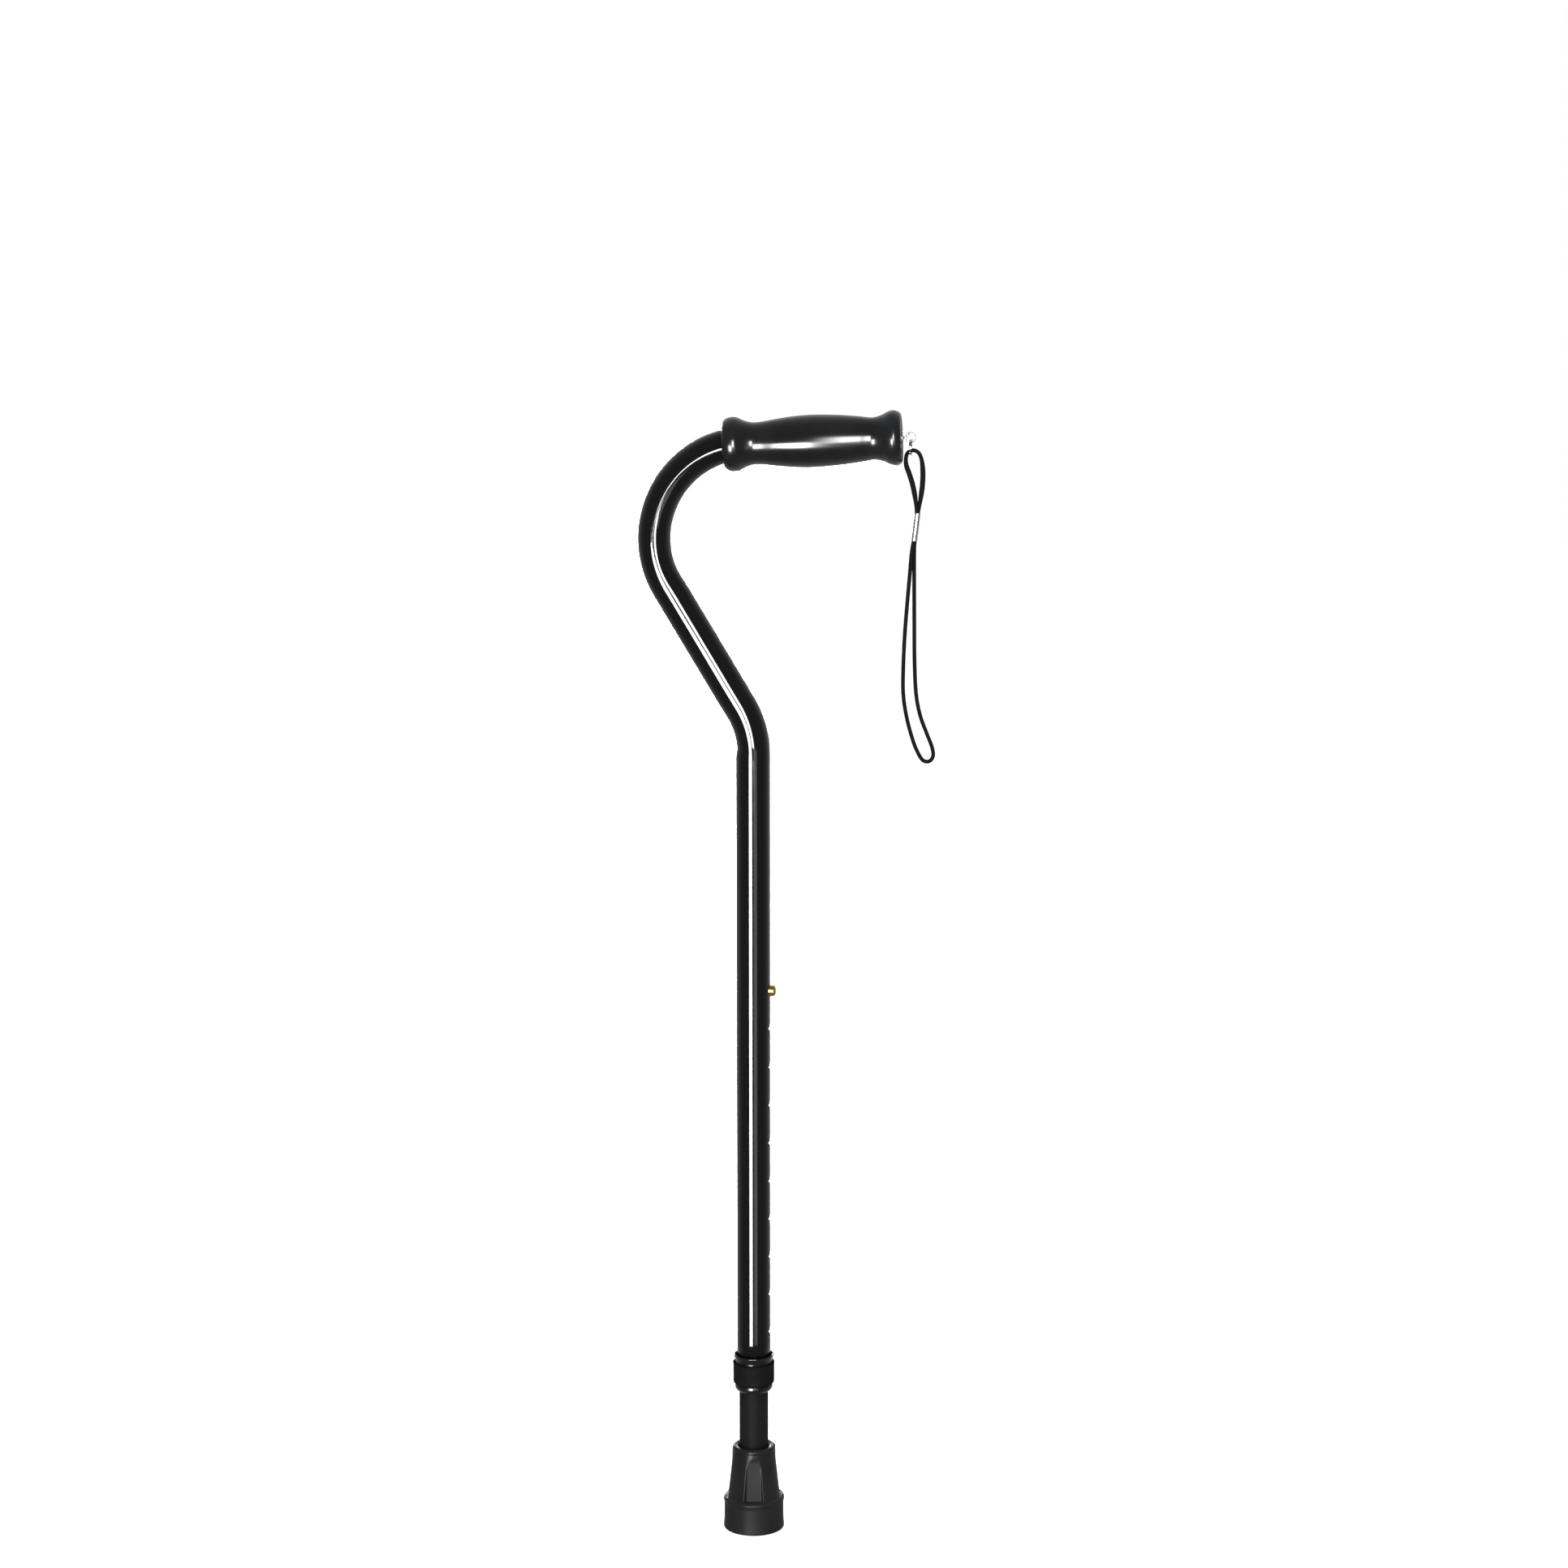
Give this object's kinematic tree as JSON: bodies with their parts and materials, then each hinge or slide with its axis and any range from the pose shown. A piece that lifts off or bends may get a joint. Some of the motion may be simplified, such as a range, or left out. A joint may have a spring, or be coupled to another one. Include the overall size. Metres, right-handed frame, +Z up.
{
  "type": "offset walking cane",
  "caption": "Height-adjustable offset-handle walking cane: bent tube, moulded grip, hole-and-button telescoping leg, locking collar, fluted rubber foot and wrist strap.",
  "frame": {"origin": "centre of the rubber foot's sole, on the shaft's axis", "axes": "+Z up the shaft, +X towards the handle's free end, and the shaft is bent in the XZ plane"},
  "size_m": [0.1903, 0.0402, 0.7344],
  "materials": {
    "gloss_paint": "gloss black powder coat on aluminium tube",
    "satin_paint": "satin black anodised aluminium tube",
    "grip_vinyl": "glossy moulded black vinyl",
    "plug_plastic": "black nylon",
    "bright_steel": "bright nickel-plated steel",
    "cord_weave": "black woven polyester cord",
    "crimp_metal": "bright rolled metal sleeve",
    "nut_plastic": "glossy black nylon",
    "band_rubber": "matt black soft band",
    "button_brass": "polished brass",
    "spring_steel": "plain spring steel",
    "foot_rubber": "dark grey-black moulded rubber, soft sheen"
  },
  "bodies": {
    "leg": {"lower_tube": "satin_paint", "snap_spring": "spring_steel", "foot_washer": "spring_steel", "ferrule": "foot_rubber"},
    "button": {"snap_button": "button_brass"},
    "shaft": {"upper_tube": "gloss_paint", "handle_grip": "grip_vinyl", "grip_end_plug": "plug_plastic", "eye_washer": "bright_steel", "eye_screw": "bright_steel", "guide_bushing": "plug_plastic"},
    "nut": {"locking_nut": "nut_plastic", "nut_grip_band": "band_rubber"},
    "ring": {"split_ring": "bright_steel"},
    "strap": {"strap_cord": "cord_weave", "crimp_sleeve": "crimp_metal"}
  },
  "joints": [
    {"name": "height_adjust", "type": "slide", "parent": "leg", "child": "shaft", "axis": [0, 0, 1], "range_m": [0, 0.2286], "deforming": ["snap_button"]},
    {"name": "button_press", "type": "slide", "parent": "leg", "child": "button", "axis": [-1, 0, 0], "range_m": [0, 0.0054], "stiffness_N_per_m": 800, "springref_m": -0.005, "deforming": ["snap_spring"]},
    {"name": "nut_turn", "type": "hinge", "parent": "shaft", "child": "nut", "pos_m": [0, 0, 0.105], "axis": [0, 0, 1], "range_deg": [0, 120]},
    {"name": "ring_swing", "type": "hinge", "parent": "shaft", "child": "ring", "pos_m": [0.09998, 0, 0.71484], "axis": [1, 0, 0], "range_deg": [-60, 60]},
    {"name": "strap_swing", "type": "hinge", "parent": "ring", "child": "strap", "pos_m": [0.09998, 0, 0.70625], "axis": [0, -1, 0], "range_deg": [0, 75]}
  ]
}
